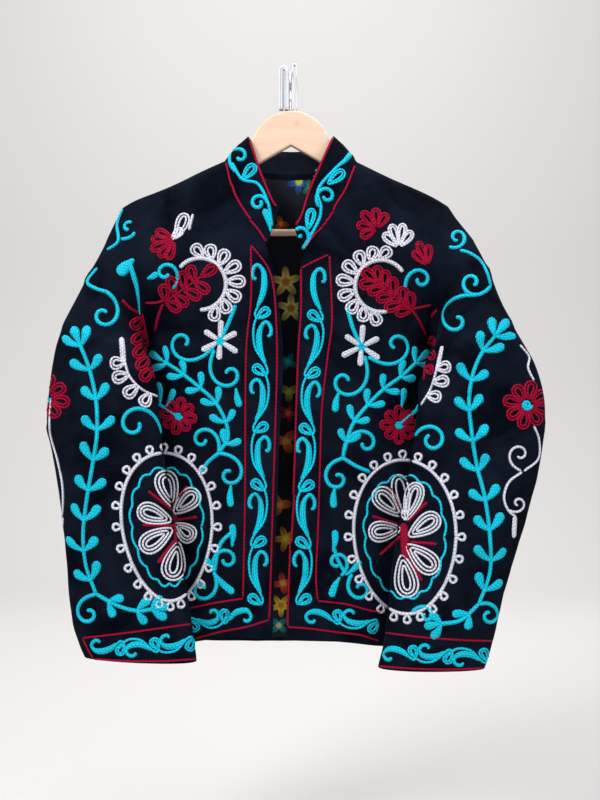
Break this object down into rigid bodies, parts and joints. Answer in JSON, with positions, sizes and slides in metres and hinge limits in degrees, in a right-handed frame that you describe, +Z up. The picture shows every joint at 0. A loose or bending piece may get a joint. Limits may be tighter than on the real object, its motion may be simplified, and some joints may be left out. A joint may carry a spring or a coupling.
{
  "type": "embroidered velvet jacket on a wooden hanger",
  "caption": "Open-fronted velvet jacket with a standing collar, long sleeves and chain-stitch embroidery, hanging on a wooden hanger with a trouser bar",
  "frame": {"origin": "The point inside the top of the steel hook where the hanger hangs.", "axes": "+Z up, the open front faces -Y, +X is the viewer's right, which is the wearer's left."},
  "size_m": [0.6205, 0.1442, 0.767],
  "materials": {
    "front_right": "near-black navy velvet with chain-stitch embroidery",
    "front_left": "near-black navy velvet with chain-stitch embroidery",
    "back": "near-black navy velvet with chain-stitch embroidery",
    "sleeve_right": "near-black navy velvet with chain-stitch embroidery",
    "sleeve_left": "near-black navy velvet with chain-stitch embroidery",
    "collar": "near-black navy velvet with chain-stitch embroidery",
    "lining_back": "dark navy printed cotton lining",
    "hanger_wood": "pale peach wood under a satin varnish",
    "hanger_bar": "pale peach wood under a satin varnish",
    "hanger_hook": "bent steel wire",
    "cord_skein_right": "skein of thin pale grey and white cord",
    "cord_skein_left": "skein of thin pale grey and white cord"
  },
  "bodies": {
    "root": {"front_right": "front_right", "front_left": "front_left", "back": "back", "sleeve_right": "sleeve_right", "sleeve_left": "sleeve_left", "collar": "collar", "lining_back": "lining_back", "hanger_wood": "hanger_wood", "hanger_bar": "hanger_bar", "hanger_hook": "hanger_hook", "cord_skein_right": "cord_skein_right", "cord_skein_left": "cord_skein_left"}
  },
  "joints": []
}
